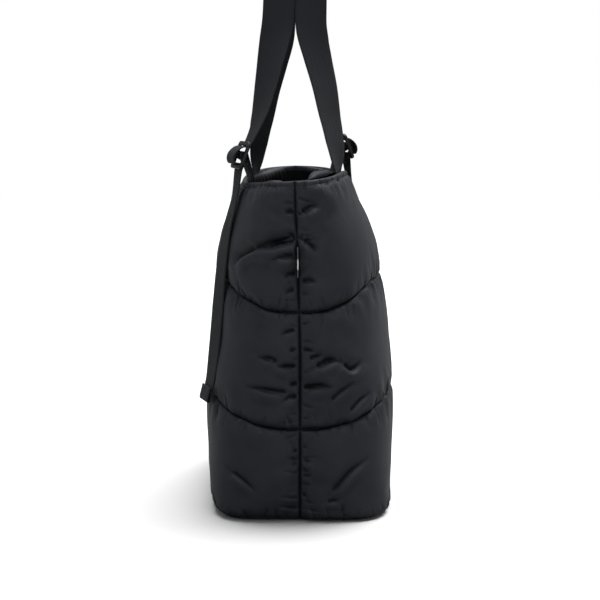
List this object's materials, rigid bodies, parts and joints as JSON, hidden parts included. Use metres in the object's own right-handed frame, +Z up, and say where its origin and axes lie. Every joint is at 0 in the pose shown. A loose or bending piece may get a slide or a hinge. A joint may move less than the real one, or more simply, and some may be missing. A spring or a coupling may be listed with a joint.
{
  "type": "puffer tote bag",
  "caption": "Quilted padded tote bag with an open mouth, a flat base and webbing handles adjusted by sliders with hanging tails.",
  "frame": {"origin": "on the floor under the middle of the base, halfway between the side seams", "axes": "+Z up, X along the length of the bag, Y through its depth with the front towards -Y; the picture looks along -X"},
  "size_m": [0.4534, 0.2357, 0.6707],
  "materials": {
    "shell": "dark grey nylon with a soft sheen",
    "lining": "matt woven polyester",
    "webbing": "twill-woven webbing",
    "slider": "glossy dark plastic",
    "label": "plain light ribbon"
  },
  "bodies": {
    "root": {"front_panel": "shell", "back_panel": "shell", "base_panel": "shell", "lining": "lining", "front_handle": "webbing", "back_handle": "webbing", "front_slider_tab": "webbing", "back_slider_tab": "webbing", "front_slider": "slider", "back_slider": "slider", "side_label": "label"}
  },
  "joints": []
}
